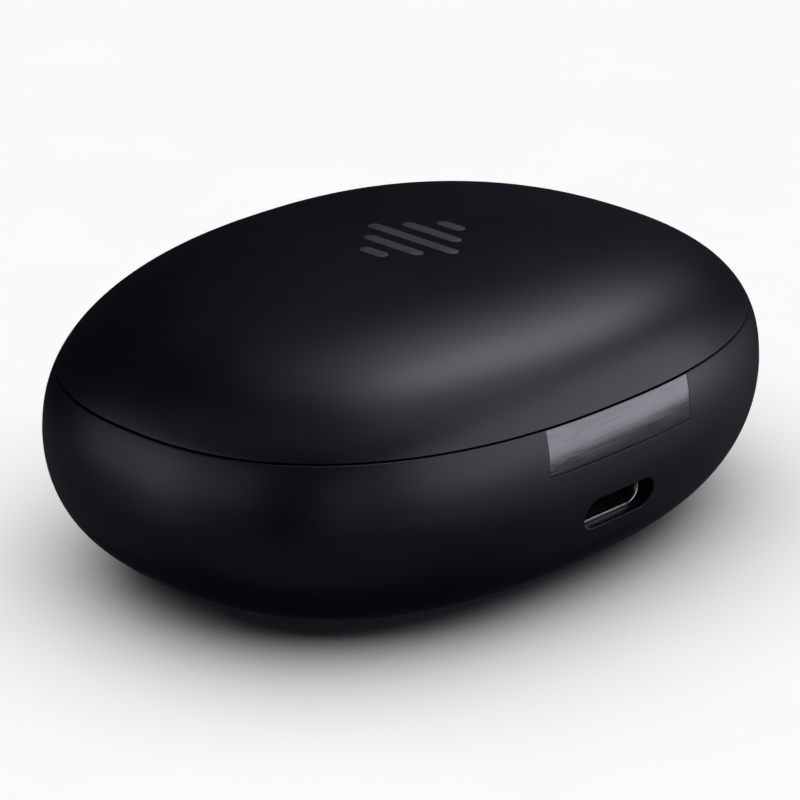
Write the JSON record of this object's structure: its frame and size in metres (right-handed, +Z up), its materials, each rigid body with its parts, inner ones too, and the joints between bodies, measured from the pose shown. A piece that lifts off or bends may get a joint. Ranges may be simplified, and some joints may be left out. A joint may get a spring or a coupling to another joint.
{
  "type": "wireless earbuds case",
  "caption": "Oval pebble charging case that holds wireless earbuds in wells under a rear-hinged lid, with a hidden hinge, sprung charging contacts and a USB-C receptacle.",
  "frame": {"origin": "centre of the flat underside, on the surface that the case stands on", "axes": "+X along the length, +Y towards the hinge and the charging receptacle, +Z up through the lid"},
  "size_m": [0.074, 0.0532, 0.0288],
  "materials": {
    "shell_black": "fine satin soft-touch moulding",
    "inner_black": "smooth matte moulding",
    "arm_black": "smooth moulding",
    "cover_metal": "dark grey, fine brushing along X",
    "steel": "bright steel",
    "port_metal": "drawn steel",
    "insert_black": "moulded insert",
    "contact_gold": "gold plated",
    "board_green": "solder mask",
    "chip_black": "moulded package",
    "cell_foil": "laminated foil",
    "foam_black": "foam tape",
    "lead_red": "insulated lead",
    "magnet_nickel": "nickel plated",
    "flex_amber": "polyimide film",
    "led_white": "clear resin",
    "lens_smoke": "smoked light pipe",
    "mark_grey": "flat grey inlay",
    "button_black": "smooth moulding"
  },
  "bodies": {
    "base": {"base_shell": "shell_black", "hinge_cover": "cover_metal", "cradle": "inner_black", "hinge_bracket": "steel", "hinge_pin": "steel", "hinge_screws": "steel", "usb_shell": "port_metal", "usb_tongue": "insert_black", "usb_contacts": "contact_gold", "main_pcb": "board_green", "pcb_chips": "chip_black", "pcb_screws": "steel", "battery": "cell_foil", "battery_pad": "foam_black", "battery_leads": "lead_red", "contact_barrels": "contact_gold", "contact_boards": "board_green", "earbud_magnets": "magnet_nickel", "base_magnets": "magnet_nickel", "top_board": "board_green", "board_screws": "steel", "button_switch": "chip_black", "sensor_board": "board_green", "sensor_flex": "flex_amber", "status_led": "led_white", "hall_sensor": "chip_black", "status_lens": "lens_smoke"},
    "lid": {"lid_shell": "shell_black", "lid_liner": "inner_black", "hinge_arms": "arm_black", "lid_screws": "steel", "lid_magnets": "magnet_nickel", "sensor_magnet": "magnet_nickel", "lid_emblem": "mark_grey"},
    "button": {"pairing_button": "button_black"},
    "contact_left_front": {"plunger_left_front": "contact_gold"},
    "contact_left_rear": {"plunger_left_rear": "contact_gold"},
    "contact_right_front": {"plunger_right_front": "contact_gold"},
    "contact_right_rear": {"plunger_right_rear": "contact_gold"}
  },
  "joints": [
    {"name": "lid_hinge", "type": "hinge", "parent": "base", "child": "lid", "pos_m": [0, 0.02474, 0.01723], "axis": [-1, 0, 0], "range_deg": [0, 100]},
    {"name": "button_press", "type": "slide", "parent": "base", "child": "button", "axis": [0, 0, -1], "range_m": [0, 0.0003], "stiffness_N_per_m": 1500, "springref_m": -0.0003},
    {"name": "contact_left_front_press", "type": "slide", "parent": "base", "child": "contact_left_front", "axis": [0, 0, -1], "range_m": [0, 0.0007], "stiffness_N_per_m": 500, "springref_m": -0.0006},
    {"name": "contact_left_rear_press", "type": "slide", "parent": "base", "child": "contact_left_rear", "axis": [0, 0, -1], "range_m": [0, 0.0007], "stiffness_N_per_m": 500, "springref_m": -0.0006},
    {"name": "contact_right_front_press", "type": "slide", "parent": "base", "child": "contact_right_front", "axis": [0, 0, -1], "range_m": [0, 0.0007], "stiffness_N_per_m": 500, "springref_m": -0.0006},
    {"name": "contact_right_rear_press", "type": "slide", "parent": "base", "child": "contact_right_rear", "axis": [0, 0, -1], "range_m": [0, 0.0007], "stiffness_N_per_m": 500, "springref_m": -0.0006}
  ]
}
